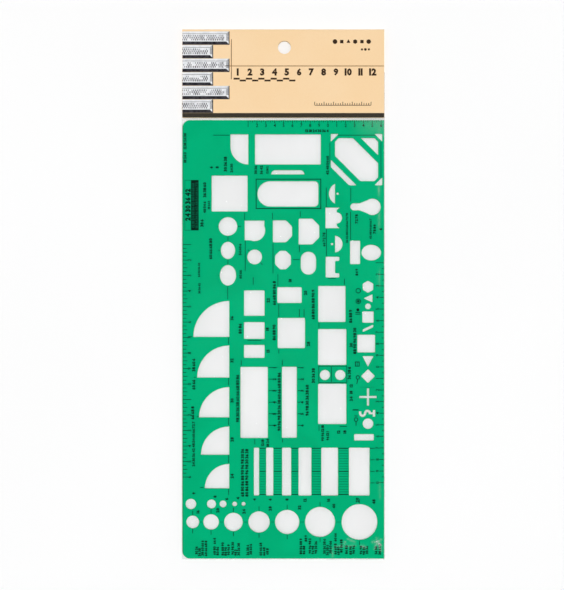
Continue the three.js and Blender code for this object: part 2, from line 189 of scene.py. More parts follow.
# Its left rim, darkened as painted shade: how far that goes towards the colour of the cut edges, and how wide
# it is
RIM_SHADE = 0.55
RIM_WIDE = 1.1


def green_plastic():
    """Thin tinted sheet, slightly mottled, scuffed and see-through, darker at its cut edges, with painted
    shade along its left rim.
    """
    made, tree, shader = new_material("green_plastic")
    cloudy = spread(tree, mottle(tree, size=45))
    grain = spread(tree, mottle(tree, size=1.6))
    sheet = between(tree, weighed(tree, grain, cloudy, share=0.25), GREEN_DEEP, GREEN_FRESH)
    place = add(tree, "ShaderNodeTexCoord").outputs["Object"]
    across = add(tree, "ShaderNodeSeparateXYZ", Vector=place).outputs["X"]
    # Painted shade along the left rim, in the colour of the cut edges
    rim = spread(tree, across, RIM_SHADE, 0.0, plate_low.x, plate_low.x + RIM_WIDE * MM)
    shade = arithmetic(tree, "MAXIMUM", rim, wall_share(tree))
    feed(tree, shader.inputs["Base Color"], between(tree, shade, sheet, GREEN_EDGE))
    scuffs = mottle(tree, size=0.3, stretch=(1, 9, 1), detail=4.0)
    feed(tree, shader.inputs["Roughness"], spread(tree, scuffs, low=0.12, high=0.2))
    shader.inputs["Specular IOR Level"].default_value = 0.3
    feed(tree, shader.inputs["Normal"], bump(tree, scuffs, depth=0.002, strength=0.2))
    clear = add(tree, "ShaderNodeBsdfTransparent", Color=GREEN_THROUGH)
    put_on(tree, mixed(tree, spread(tree, cloudy, low=0.2, high=0.28), shader, clear))
    return made


# How milky the film is on its back layer, how much paler its upper right corner is, and the painted highlight
# on its creases where faintest and whitest
BACK_MILK = 0.14
CORNER_PALENESS = 0.08
CREASE_HIGHLIGHT = (0.08, 0.5)
MILK_AND_HIGHLIGHT_WHITE = (0.88, 0.89, 0.9, 1)
# Where that changes: up between the two layers, across to the right side, and along to the head
MILK_UP = (0.9, 1.5)
PALE_ACROSS = (34, 55)
PALE_ALONG = (84, 96)
# The mesh layer that says how creased the film is, and so how much painted highlight it takes
HIGHLIGHT_LAYER = "crease_highlight"
# How the film mirrors more as it is seen flatter: the power of that growth, and its most
GRAZING_POWER = 5.0
GRAZING_MIRROR = 0.85


def film_milk_and_highlights(tree):
    """A little milkiness on the film's back layer, paleness at its upper right corner, and painted highlight
    in white at its creases.
    """
    place = add(tree, "ShaderNodeTexCoord").outputs["Object"]
    spot = add(tree, "ShaderNodeSeparateXYZ", Vector=place)
    back = spread_over(tree, spot.outputs["Z"], MILK_UP, BACK_MILK, 0.0)
    right = spread_over(tree, spot.outputs["X"], PALE_ACROSS, 0.0, 1.0)
    head = spread_over(tree, spot.outputs["Y"], PALE_ALONG, 0.0, CORNER_PALENESS)
    bent = add(tree, "ShaderNodeAttribute", {"attribute_name": HIGHLIGHT_LAYER}).outputs["Fac"]
    broken = spread(tree, mottle(tree, size=0.8), *CREASE_HIGHLIGHT)
    white = arithmetic(tree, "MULTIPLY_ADD", bent, broken, back)
    return arithmetic(tree, "MULTIPLY_ADD", right, head, white)


def clear_film():
    """Film that passes light straight through and mirrors more of it the flatter it is seen."""
    made, tree, shader = new_material("clear_film")
    tree.nodes.remove(shader)
    crinkle = mottle(tree, size=3.5, stretch=(1, 3, 1), detail=3.0)
    relief = bump(tree, crinkle, depth=0.05, strength=0.5)
    gloss = add(tree, "ShaderNodeBsdfGlossy", Normal=relief)
    feed(tree, gloss.inputs["Roughness"], spread(tree, mottle(tree, size=9), low=0.05, high=0.14))
    facing = add(tree, "ShaderNodeLayerWeight", Blend=0.5, Normal=relief).outputs["Facing"]
    grazing = arithmetic(tree, "POWER", facing, GRAZING_POWER)
    least = spread(tree, mottle(tree, size=22), low=0.02, high=0.035)
    mirror = arithmetic(tree, "MULTIPLY_ADD", grazing, GRAZING_MIRROR, least)
    clear = add(tree, "ShaderNodeBsdfTransparent", Color=(1, 1, 1, 1))
    # Milk on the back layer, paleness at the upper right corner and painted highlight at the creases, all in
    # one diffuse white
    milk_and_highlight = add(tree, "ShaderNodeBsdfDiffuse", Color=MILK_AND_HIGHLIGHT_WHITE)
    hazy_and_highlit = mixed(tree, film_milk_and_highlights(tree), clear, milk_and_highlight)
    put_on(tree, mixed(tree, mirror, hazy_and_highlit, gloss))
    return made


# Card stock: its face where lightest and darkest, and the core at its cut edges
TAN_LIGHT = srgb(249, 217, 174)
TAN_DARK = srgb(247, 212, 165)
TAN_CORE = srgb(240, 224, 200)


def tan_card():
    """Uncoated card: fibres, a faint blotch, pale where its core shows at the cut edges."""
    made, tree, shader = new_material("tan_card")
    blotch = spread(tree, mottle(tree, size=30))
    fibre = mottle(tree, size=0.22, stretch=(9, 1, 1), detail=3.0)
    fleck = spread(tree, mottle(tree, size=0.7))
    face = between(tree, weighed(tree, fleck, blotch, share=0.4), TAN_LIGHT, TAN_DARK)
    feed(tree, shader.inputs["Base Color"], between(tree, wall_share(tree), face, TAN_CORE))
    feed(tree, shader.inputs["Roughness"], spread(tree, fibre, low=0.62, high=0.8))
    shader.inputs["Specular IOR Level"].default_value = 0.25
    feed(tree, shader.inputs["Normal"], bump(tree, fibre, depth=0.02, strength=0.4))
    return made


TAPE_DARK = srgb(226, 221, 202)
TAPE_LIGHT = srgb(240, 236, 222)


def adhesive_tape():
    """Double-sided tape with small bubbles under it."""
    made, tree, shader = new_material("adhesive_tape")
    bubbles = spread(tree, mottle(tree, size=1.2))
    feed(tree, shader.inputs["Base Color"], between(tree, bubbles, TAPE_DARK, TAPE_LIGHT))
    feed(tree, shader.inputs["Roughness"], spread(tree, bubbles, low=0.3, high=0.5))
    feed(tree, shader.inputs["Normal"], bump(tree, bubbles, depth=0.02, strength=0.4))
    return made


def printing(name, thin, full, size=0.5):
    """Printing ink that covers unevenly, in blotches of a size, between a thin and a full tone."""
    made, tree, shader = new_material(name)
    cover = mottle(tree, size, detail=3.0)
    feed(tree, shader.inputs["Base Color"], between(tree, spread(tree, cover), thin, full))
    feed(tree, shader.inputs["Roughness"], spread(tree, cover, low=0.45, high=0.65))
    shader.inputs["Specular IOR Level"].default_value = 0.1
    feed(tree, shader.inputs["Normal"], bump(tree, cover, depth=0.004, strength=0.3))
    return made


FLOOR_DIM = (0.965, 0.965, 0.965, 1)
FLOOR_BRIGHT = (0.975, 0.975, 0.975, 1)


def white_floor():
    """Dull white paper, very slightly patchy."""
    made, tree, shader = new_material("white_floor")
    patch = spread(tree, mottle(tree, size=180))
    feed(tree, shader.inputs["Base Color"], between(tree, patch, FLOOR_DIM, FLOOR_BRIGHT))
    shader.inputs["Roughness"].default_value = 1.0
    shader.inputs["Specular IOR Level"].default_value = 0.0
    return made


# Mesh helpers

# Edges that turn by more than the first are eased, and those that turn by less than the second look smooth
SHARP_TURN = math.radians(50)
SMOOTH_TURN = math.radians(32)


def new_piece(name, mesh, material, body):
    piece = bpy.data.objects.new(name, mesh)
    bpy.context.scene.collection.objects.link(piece)
    mesh.materials.clear()
    mesh.materials.append(material)
    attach(piece, body)
    return piece


def mesh_from(work, name):
    mesh = bpy.data.meshes.new(name)
    work.to_mesh(mesh)
    work.free()
    return mesh


def softened_copy(node, name, ease):
    """A node's mesh with its sharp edges eased by so many mm."""
    work = bmesh.new()
    work.from_mesh(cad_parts[node].data)
    bmesh.ops.remove_doubles(work, verts=work.verts, dist=WELD * MM)
    sharp = [edge for edge in work.edges if edge.is_manifold and edge.calc_face_angle() > SHARP_TURN]
    bmesh.ops.bevel(
        work, geom=sharp, offset=ease * MM, offset_type="OFFSET", segments=1, profile=0.5,
        affect="EDGES", clamp_overlap=False,
    )
    for face in work.faces:
        face.smooth = True
    for edge in work.edges:
        edge.smooth = edge.is_manifold and edge.calc_face_angle() < SMOOTH_TURN
    return mesh_from(work, name)


# How much the strokes of bold and thin digits are thickened, when a digit is drawn
DIGIT_WEIGHT = 0.06
THIN_WEIGHT = 0.015
# The gap between digits, and the room of a space, in digit heights
DIGIT_GAP = 0.05
SPACE_STEP = 0.16
# Steps in each curve of a digit, and round a circle
CURVE_STEPS = 2
CIRCLE_STEPS = 28
# Any thickness, to tell the corners on top of a digit from those under it
DIGIT_THICK = 0.5


def digit_shapes(weight):
    """Each plain digit, one unit high: corners as across, up and whether on top, faces, and its width."""
    shapes = {}
    for mark in "0123456789":
        curve = bpy.data.curves.new("digit", "FONT")
        curve.body = mark
        curve.extrude = DIGIT_THICK
        curve.offset = weight
        curve.resolution_u = CURVE_STEPS
        holder = bpy.data.objects.new("digit", curve)
        mesh = holder.to_mesh()
        corners = [v.co.copy() for v in mesh.vertices]
        faces = [tuple(p.vertices) for p in mesh.polygons]
        holder.to_mesh_clear()
        bpy.data.objects.remove(holder)
        bpy.data.curves.remove(curve)
        left = min(c.x for c in corners)
        low = min(c.y for c in corners)
        tall = max(c.y for c in corners) - low
        corners = [((c.x - left) / tall, (c.y - low) / tall, c.z > 0) for c in corners]
        shapes[mark] = (corners, faces, max(c[0] for c in corners))
    return shapes


DIGITS = digit_shapes(DIGIT_WEIGHT)
THIN_DIGITS = digit_shapes(THIN_WEIGHT)


def mark_step(mark, digits=DIGITS):
    """How far a digit or a space moves the writing on, in digit heights."""
    return SPACE_STEP if mark == " " else digits[mark][2] + DIGIT_GAP


class Print:
    """Gathers thin printed shapes, placed across and down from one corner, and makes one piece of them."""

    def __init__(self, corner_x, corner_y, surface):
        self.work = bmesh.new()
        self.corner = (corner_x, corner_y)
        self.low = surface + INK_GAP * MM
        self.high = self.low + INK_THICK * MM

    def point(self, across, down, top):
        x = self.corner[0] + across * MM
        y = self.corner[1] - down * MM
        return self.work.verts.new((x, y, self.high if top else self.low))

    def shape(self, outline):
        """A flat shape from its outline, listed clockwise as seen on the print."""
        top = [self.point(a, d, True) for a, d in outline]
        under = [self.point(a, d, False) for a, d in outline]
        self.work.faces.new(top[::-1])
        self.work.faces.new(under)
        for index in range(len(outline)):
            after = (index + 1) % len(outline)
            self.work.faces.new((top[index], top[after], under[after], under[index]))

    def block(self, left, up, right, foot):
        self.shape([(left, up), (right, up), (right, foot), (left, foot)])

    def stroke(self, start, end, width):
        run, fall = end[0] - start[0], end[1] - start[1]
        length = math.hypot(run, fall)
        side = (-fall / length * width / 2, run / length * width / 2)
        self.shape([
            (start[0] - side[0], start[1] - side[1]),
            (end[0] - side[0], end[1] - side[1]),
            (end[0] + side[0], end[1] + side[1]),
            (start[0] + side[0], start[1] + side[1]),
        ])

    def border(self, left, up, right, foot, width):
        half = width / 2
        self.stroke((left - half, up), (right + half, up), width)
        self.stroke((left - half, foot), (right + half, foot), width)
        self.stroke((left, up + half), (left, foot - half), width)
        self.stroke((right, up + half), (right, foot - half), width)

    def disc(self, centre, radius, steps=CIRCLE_STEPS, start=0.0):
        turns = [start + index * math.tau / steps for index in range(steps)]
        self.shape([(centre[0] + radius * math.cos(t), centre[1] + radius * math.sin(t)) for t in turns])

    def ring(self, centre, radius, width):
        step = math.tau / CIRCLE_STEPS
        for index in range(CIRCLE_STEPS):
            ends = []
            for turn in (index * step, (index + 1) * step):
                ends.append((centre[0] + radius * math.cos(turn), centre[1] + radius * math.sin(turn)))
            self.stroke(ends[0], ends[1], width)

    def number(self, text, centre, height, upright=True, digits=DIGITS):
        """Plain digits about a centre. If not upright, they read from the foot towards the head."""
        begin = -height * sum(mark_step(mark, digits) for mark in text) / 2
        for place, mark in enumerate(text):
            if mark == " ":
                continue
            corners, faces = digits[mark][:2]
            before = sum(mark_step(earlier, digits) for earlier in text[:place])
            start = begin + height * (before + DIGIT_GAP / 2)
            made = []
            for x, y, top in corners:
                along, rise = start + x * height, (y - 0.5) * height
                if upright:
                    made.append(self.point(centre[0] + along, centre[1] - rise, top))
                else:
                    made.append(self.point(centre[0] - rise, centre[1] - along, top))
            for face in faces:
                self.work.faces.new([made[index] for index in face])

    def piece(self, name, material, body):
        bmesh.ops.remove_doubles(self.work, verts=self.work.verts, dist=PRINT_WELD * MM)
        bmesh.ops.recalc_face_normals(self.work, faces=self.work.faces)
        return new_piece(name, mesh_from(self.work, name), material, body)


def plate_print(layer=0):
    """Printing on the plate, on top of so many layers of ink."""
    return Print(plate_low.x, plate_high.y, plate_high.z + layer * (INK_GAP + INK_THICK) * MM)


def card_print(layer=0):
    """Printing on the card's front, on top of so many layers of ink."""
    return Print(card_low.x, card_high.y, card_high.z + layer * (INK_GAP + INK_THICK) * MM)


# The plate and its printing

# How far the plate's edges are eased
PLATE_EASE = 0.06

# Widths of printed lines
FINE_LINE = 0.2
TICK = 0.33
LINE = 0.34
BOLD_LINE = 0.46
HEAVY_LINE = 0.6

# Heights of printed digits
FINE_LABEL = 1.3
FOOT_LABEL = 1.6
LABEL_HEIGHT = 1.65
SMALL_DIGIT = 1.8
TALL_LABEL = 1.9
SCALE_DIGIT = 1.9
FRAMED_DIGIT = 2.9

# The right scale's quarter inches are drawn a little long
RIGHT_STRETCH = 1.003
# Each scale: where it starts along its edge, the length of a step, how many steps, how many parts a step has
TOP_SCALE = (36.2, 4.88, 15, 4)
LEFT_SCALE = (68.5, 8.53, 15, 4)
RIGHT_SCALE = (78.5, RIGHT_STRETCH * QUARTER_INCH, 19, 2)
# Ticks start this far in from the edge
EDGE_MARGIN = 0.15

# Reach of each scale's ticks from its edge, whole, half and part, and of the middle of its digits
TOP_REACH = (1.8, 1.3, 0.9, 2.9)
LEFT_REACH = (3.0, 2.8, 2.2, 3.95)
RIGHT_REACH = (2.6, 1.3, 1.3, 3.7)

# Rows of size numbers that read up the plate beside the cut-outs: middle across, middle down, length
FINE_SIZE_ROWS = [
    (46.8, 27.4, 4.4), (14.6, 46.8, 5.0), (9.2, 82.5, 7.8), (9.4, 92.6, 6.2), (90.6, 59.4, 16.5),
    (103.6, 59.8, 11.8),
]
SIZE_ROWS = [
    (1.5, 11.6, 8.8), (1.5, 20.6, 6.1), (27.1, 26.4, 4.6), (40.4, 27.4, 4.4), (43.5, 27.4, 4.4),
    (79.9, 24.9, 10.7), (12.3, 48.0, 6.3), (31.8, 71.2, 6.1), (32.0, 84.9, 5.5), (78.0, 65.7, 8.4),
    (95.9, 54.4, 4.9), (105.8, 60.0, 5.5), (96.0, 83.7, 4.2), (77.2, 172.3, 8.3), (80.0, 173.8, 5.5),
    (44.2, 177.6, 4.1), (47.0, 177.6, 4.1), (6.2, 178.2, 25.3),
]
TALL_SIZE_ROWS = [
    (23.7, 24.2, 8.8), (12.3, 38.4, 9.1), (10.8, 56.7, 4.4), (15.6, 70.8, 11.8), (50.6, 95.2, 13.2),
    (72.0, 101.5, 16.0), (31.8, 114.8, 5.2), (50.5, 116.9, 9.4), (94.9, 121.5, 15.2), (53.3, 155.0, 33.0),
    (68.7, 154.2, 16.8), (30.4, 153.2, 26.4), (72.1, 140.6, 8.3), (91.9, 139.2, 7.7), (6.3, 134.8, 7.0),
    (6.3, 145.6, 5.1), (5.7, 161.1, 7.9), (33.1, 194.1, 26.6), (35.5, 194.1, 26.6), (92.6, 108.0, 7.9),
]
# The same along the foot, under the circles
FOOT_ROWS = [
    (7.8, 236.8, 4.4), (9.45, 237.8, 4.2), (11.1, 235.5, 8.8), (13.0, 235.7, 8.4), (17.7, 231.6, 3.4),
    (17.7, 236.9, 5.4), (19.4, 237.2, 5.4), (22.2, 236.0, 7.2), (23.85, 237.4, 4.4), (25.5, 236.5, 6.0),
    (27.7, 235.7, 7.2), (29.35, 238.0, 3.4), (31.0, 236.2, 7.4), (36.0, 236.6, 5.6), (37.65, 236.2, 6.4),
    (43.1, 236.1, 7.0), (44.95, 237.4, 4.4), (46.8, 237.4, 3.4), (65.2, 234.6, 8.6), (66.9, 236.6, 5.0),
    (68.0, 230.2, 4.2), (70.2, 234.4, 8.2), (71.85, 236.6, 5.0), (73.5, 235.2, 7.2), (78.2, 234.6, 8.6),
    (79.85, 236.6, 5.4), (81.5, 235.1, 7.4), (84.2, 229.6, 4.4), (84.2, 236.0, 6.4), (85.85, 237.0, 4.4),
    (87.5, 234.4, 7.0), (90.3, 236.4, 5.0), (92.6, 236.8, 4.6), (94.3, 236.4, 5.0), (98.3, 236.6, 4.4),
    (99.95, 237.0, 4.2), (101.6, 236.6, 5.2), (106.6, 236.8, 4.4), (108.6, 236.2, 5.6),
]
# The numbers that the rows run through; the second series is of rounder digits, for darker rows
SIZE_SERIES = "12 18 24 30 36 42 48 54 60 66 72 78 84 90 96 "
ROUND_SERIES = "30 36 38 60 66 68 80 86 88 90 96 98 "
# Each number in a series takes up two digits and a space
NUMBER_MARKS = 3

# Single size numbers: text, across, down
SIZE_MARKS = [
    ("6", 15.9, 26.0), ("8", 19.2, 26.0), ("36", 27.3, 109.0), ("32", 27.3, 132.3), ("30", 27.4, 154.3),
    ("28", 27.4, 175.8), ("24", 27.4, 195.9), ("22", 47.3, 99.2), ("18", 46.8, 115.0), ("15", 47.2, 127.1),
    ("20", 67.8, 95.1), ("28", 69.4, 123.2), ("30", 92.9, 123.8), ("18", 59.3, 88.3), ("9", 6.4, 205.4),
    ("8", 18.0, 207.2), ("6", 24.4, 208.5), ("4", 30.6, 208.1), ("16", 8.6, 215.6), ("20", 19.5, 214.8),
    ("24", 33.9, 215.4), ("28", 48.3, 213.8), ("32", 64.5, 213.2), ("40", 83.4, 212.4), ("48", 105.4, 210.0),
    ("4", 39.7, 208.8), ("6", 48.3, 208.8), ("8", 57.6, 208.8), ("12", 67.5, 209.1), ("16", 80.4, 209.1),
    ("20", 96.3, 209.1), ("6", 109.1, 60.0), ("12", 92.9, 146.2), ("18", 92.9, 149.8), ("24", 92.9, 153.4),
    ("12", 86.0, 171.6), ("18", 89.4, 171.6),
]

# Centre lines, wall lines and guide lines: start across, start down, end across, end down
GUIDE_LINES = [
    (17.0, 8.3, 26.0, 8.3), (25.1, 63.9, 25.1, 66.4), (25.1, 76.7, 25.1, 79.4), (25.0, 91.4, 25.0, 98.6),
    (34.3, 51.2, 34.3, 54.9), (34.6, 66.4, 34.6, 83.0), (49.6, 51.0, 49.6, 54.6), (49.9, 67.8, 49.9, 84.4),
    (52.6, 84.8, 52.6, 91.4), (64.9, 50.2, 64.9, 53.2), (64.4, 69.0, 64.4, 72.6), (79.2, 37.0, 79.2, 47.8),
    (79.3, 59.9, 79.3, 74.8), (92.7, 37.2, 92.7, 44.8), (92.6, 50.4, 92.6, 65.8), (85.6, 8.3, 106.2, 8.3),
    (109.3, 12.0, 109.3, 31.6), (81.2, 12.4, 81.2, 24.0), (53.1, 101.2, 53.1, 108.4),
    (75.2, 111.6, 75.2, 114.5), (60.9, 76.8, 64.6, 76.8), (19.3, 58.5, 19.9, 58.5),
    (30.4, 58.5, 32.4, 58.5), (19.8, 71.7, 20.6, 71.7), (19.6, 85.4, 20.0, 85.4), (39.0, 86.4, 39.0, 90.6),
    (89.2, 87.2, 89.2, 90.6), (64.4, 104.0, 64.4, 108.2), (67.0, 104.0, 67.0, 108.2),
    (36.0, 71.3, 37.0, 72.3), (42.9, 78.4, 44.2, 79.7), (53.1, 126.2, 53.1, 128.4),
    (32.4, 132.0, 32.4, 135.0), (55.0, 132.0, 55.0, 135.0),
    (39.9, 175.6, 39.9, 178.4), (55.2, 175.4, 55.2, 177.4), (75.2, 167.9, 75.2, 171.0),
    (35.8, 121.2, 43.4, 121.2), (86.6, 168.6, 90.6, 168.6), (84.4, 87.2, 80.2, 87.2),
]

# Doors: the hinges across, the lines at the hinges from start to end down, and level ticks at the sills
DOOR_HINGES = 25.5
DOOR_SILLS = [(119.4, 123.3), (141.9, 145.9), (163.8, 167.9), (184.4, 188.7), (203.0, 206.4)]
DOOR_SILL_TICKS = [(3.3, 5.4, 119.2), (6.3, 7.4, 141.6), (8.0, 9.0, 163.2), (9.8, 11.6, 202.2)]

# Wall slots: the bars of plate between them carry brick courses, and ticks stand beside the last slot
SLOT_BARS = [(42.35, 46.05), (50.2, 54.75), (60.0, 63.85), (71.2, 76.35), (85.8, 91.55)]
COURSES_UP = 180.6
COURSES = 18
COURSE_STEP = INCH / COURSES
BOLD_COURSES = 9
SLOT_SIDE = (103.2, 105.8)
SLOT_SIDE_TICKS = 4

# Circles of the lower row: centre across, radius
CIRCLES = [(5.7, 3.5), (15.8, 4.3), (28.1, 5.1), (42.2, 5.9), (57.7, 6.7), (75.8, 8.3), (97.5, 9.9)]
CIRCLES_DOWN = 221.2
CIRCLE_TICK = 2.4
CIRCLE_TICK_GAP = 0.35

# Rulers beside the counters: first tick down, step, how many; and each one's tick ends and digits, across
COUNTER_RULER = (136.2, QUARTER_INCH, 6)
COUNTER_TICKS = [(47.5, 52.2, 50.6), (63.4, 64.9, 65.9)]
COUNTER_DIGIT_DROP = 0.1

# Frames and the dark block: left, top, right, foot
BATH_FRAME = (40.6, 32.5, 76.2, 48.7)
BURNER_FRAME = (75.1, 135.4, 90.5, 144.5)
BURNER_MIDDLE = 82.0
LABEL_FRAME = (1.4, 33.1, 4.75, 60.6)
DARK_BLOCK = (4.9, 33.0, 9.0, 60.7)
# The share of the dark block's length that its numbers fill
BLOCK_FILL = 0.92

# The rows in the label frame and at the top edge: middle across and down, length, and first number
FRAMED_LABEL = (3.05, 46.6)
FRAMED_LENGTH = 18.4
FRAMED_FIRST = 2
TOP_LABEL = (74.1, 5.9)
TOP_LABEL_LENGTH = 12.6
TOP_LABEL_FIRST = 0

# Printed symbols: rings and discs as centre across, centre down and radius; strokes as both ends and a width
RINGS = [(96.8, 93.9, 1.25), (96.8, 99.7, 1.25), (96.6, 141.6, 0.95), (95.6, 164.8, 1.0)]
DISCS = [(96.8, 99.7, 0.7), (96.6, 104.4, 0.85)]
SYMBOL_BOX = (95.2, 133.1, 97.3, 135.4)
SYMBOL_STROKES = [
    (95.2, 105.8, 98.0, 105.8, BOLD_LINE), (95.2, 106.8, 98.0, 106.8, BOLD_LINE),
    (96.2, 133.4, 96.2, 135.1, LINE), (96.5, 142.7, 96.0, 145.2, BOLD_LINE),
    (93.7, 159.5, 97.0, 159.5, HEAVY_LINE), (95.6, 166.0, 95.6, 168.2, BOLD_LINE),
    (94.7, 162.8, 96.5, 162.8, BOLD_LINE),
]
# A dashed line: left, right, down, how many dashes
DASHES = (97.8, 106.2, 147.0, 7)


def edge_scale(marks, scale, reach, spot, upright):
    """Ticks along an edge, with digits that start again at 0 after 9.

    spot turns a place along the edge and a reach from it into a point.
    """
    start, step, count, parts = scale
    whole_reach, half_reach, part_reach, digit_reach = reach
    for index in range(count * parts + 1):
        place = start + index * step / parts
        whole = index % parts == 0
        half = 2 * index % parts == 0
        end = whole_reach if whole else half_reach if half else part_reach
        marks.stroke(spot(place, EDGE_MARGIN), spot(place, end), TICK)
        if whole:
            digit = str((index // parts + 1) % 10)
            marks.number(digit, spot(place, digit_reach), SCALE_DIGIT, upright, THIN_DIGITS)


def counter_rulers(marks):
    start, step, count = COUNTER_RULER
    for index in range(count):
        down = start + index * step
        for near, far, digit in COUNTER_TICKS:
            marks.stroke((near, down), (far, down), LINE)
            spot = (digit, down + COUNTER_DIGIT_DROP)
            marks.number(str(index + 1), spot, SMALL_DIGIT, upright=False)


def scales():
    marks = plate_print()
    edge_scale(marks, TOP_SCALE, TOP_REACH, lambda place, reach: (place, reach), True)
    edge_scale(marks, LEFT_SCALE, LEFT_REACH, lambda place, reach: (reach, place), False)
    edge_scale(marks, RIGHT_SCALE, RIGHT_REACH, lambda place, reach: (PLATE_WIDE - reach, place), False)
    counter_rulers(marks)
    return marks


def size_row(first, length, series=SIZE_SERIES):
    """Numbers of a series, from the one given on, that fill a length given in digit heights."""
    text = ""
    left = length
    for mark in itertools.islice(itertools.cycle(series), NUMBER_MARKS * first, None):
        if left < mark_step(mark) / 2:
            return text.rstrip()
        left -= mark_step(mark)
        text += mark


def size_numbers():
    marks = plate_print()
    groups = [
        (FINE_SIZE_ROWS, FINE_LABEL, SIZE_SERIES),
        (SIZE_ROWS, LABEL_HEIGHT, SIZE_SERIES),
        (TALL_SIZE_ROWS, TALL_LABEL, ROUND_SERIES),
        (FOOT_ROWS, FOOT_LABEL, ROUND_SERIES),
    ]
    for rows, height, series in groups:
        for order, (across, down, length) in enumerate(rows):
            marks.number(size_row(order, length / height, series), (across, down), height, upright=False)
    for text, across, down in SIZE_MARKS:
        marks.number(text, (across, down), SMALL_DIGIT, upright=False)
    marks.number(size_row(TOP_LABEL_FIRST, TOP_LABEL_LENGTH / LABEL_HEIGHT), TOP_LABEL, LABEL_HEIGHT)
    framed = size_row(FRAMED_FIRST, FRAMED_LENGTH / FRAMED_DIGIT)
    marks.number(framed, FRAMED_LABEL, FRAMED_DIGIT, upright=False)
    return marks


def slot_courses(marks):
    """Brick courses on the bars between the wall slots, and ticks beside the last slot."""
    for left, right in SLOT_BARS:
        for course in range(COURSES + 1):
            down = COURSES_UP + course * COURSE_STEP
            width = BOLD_LINE if course % BOLD_COURSES == 0 else FINE_LINE
            marks.stroke((left, down), (right, down), width)
    for tick in range(SLOT_SIDE_TICKS):
        down = COURSES_UP + tick * QUARTER_INCH
        marks.stroke((SLOT_SIDE[0], down), (SLOT_SIDE[1], down), LINE)


def circle_ticks(marks):
    """Ticks above and below the circles of the lower row, and fine lines from each to the next."""
    for across, radius in CIRCLES:
        for side in (-1, 1):
            start = CIRCLES_DOWN + side * (radius + CIRCLE_TICK_GAP)
            marks.stroke((across, start), (across, start + side * CIRCLE_TICK), LINE)
    for (left, left_radius), (right, right_radius) in zip(CIRCLES, CIRCLES[1:]):
        start = left + left_radius + CIRCLE_TICK_GAP
        end = right - right_radius - CIRCLE_TICK_GAP
        marks.stroke((start, CIRCLES_DOWN), (end, CIRCLES_DOWN), FINE_LINE)


def frames(marks):
    """Frames round the bath, the label and the burners, with a line between the burners."""
    marks.border(*BATH_FRAME, BOLD_LINE)
    marks.border(*LABEL_FRAME, FINE_LINE)
    marks.border(*BURNER_FRAME, LINE)
    marks.stroke((BURNER_MIDDLE, BURNER_FRAME[1] + LINE), (BURNER_MIDDLE, BURNER_FRAME[3] - LINE), LINE)


def guide_lines():
    marks = plate_print()
    for left, up, right, foot in GUIDE_LINES:
        marks.stroke((left, up), (right, foot), LINE)
    for start, end in DOOR_SILLS:
        marks.stroke((DOOR_HINGES, start), (DOOR_HINGES, end), LINE)
    for left, right, down in DOOR_SILL_TICKS:
        marks.stroke((left, down), (right, down), LINE)
    slot_courses(marks)
    circle_ticks(marks)
    frames(marks)
    return marks


def symbols():
    """Printed symbols beside the cut-out ones, a dashed line and the dark block."""
    marks = plate_print()
    for across, down, radius in RINGS:
        marks.ring((across, down), radius, BOLD_LINE)
    for across, down, radius in DISCS:
        marks.disc((across, down), radius)
    marks.border(*SYMBOL_BOX, BOLD_LINE)
    for left, up, right, foot, width in SYMBOL_STROKES:
        marks.stroke((left, up), (right, foot), width)
    left, right, down, count = DASHES
    step = (right - left) / count
    for index in range(count):
        start = left + index * step
        marks.stroke((start, down), (start + step / 2, down), FINE_LINE)
    marks.block(*DARK_BLOCK)
    return marks


def block_numbers():
    """Two rows of pale numbers on the dark block."""
    marks = plate_print(layer=1)
    left, up, right, foot = DARK_BLOCK
    quarter = (right - left) / 4
    for order, across in enumerate((left + quarter, right - quarter)):
        text = size_row(order, BLOCK_FILL * (foot - up) / LABEL_HEIGHT)
        marks.number(text, (across, (up + foot) / 2), LABEL_HEIGHT, upright=False)
    return marks


plate_ink = printing("plate_ink", thin=(0.001, 0.024, 0.014, 1), full=(0.001, 0.01, 0.006, 1))
pale_plate_ink = printing("pale_plate_ink", thin=(0.002, 0.075, 0.04, 1), full=(0.002, 0.12, 0.06, 1))
plate_mesh = softened_copy("template_plate", "drafting_plate", PLATE_EASE)
plate = new_piece("drafting_plate", plate_mesh, green_plastic(), "template")
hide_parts("template_plate")
scales().piece("plate_scales", plate_ink, "template")
size_numbers().piece("plate_size_numbers", plate_ink, "template")
guide_lines().piece("plate_guide_lines", plate_ink, "template")
symbols().piece("plate_symbols", plate_ink, "template")
block_numbers().piece("plate_block_numbers", pale_plate_ink, "template")


# The film sleeve

# Half the film's thickness
FILM_HALF = 0.05

# Its mesh: steps across and along, finer at the right side and the foot, and how many round a side fold
WIDE_STEP = 2.0
LONG_STEP = 3.0
FINE_STEP = 0.3
FINE_SIDE = 32.0
FINE_FOOT = 20.0
FOLD_STEPS = 6

# How near to the card and to the side folds the film is held flat
CALM_AT_CARD = 5.0
CALM_AT_SIDE = 1.5

# Slow waves in the front and the back: height, length across, length along, and the noise that they take
FRONT_WAVES = [(0.06, 16, 40, 0.5), (0.02, 5, 17, 3.5)]
BACK_WAVES = [(0.12, 18, 36, 7.5)]

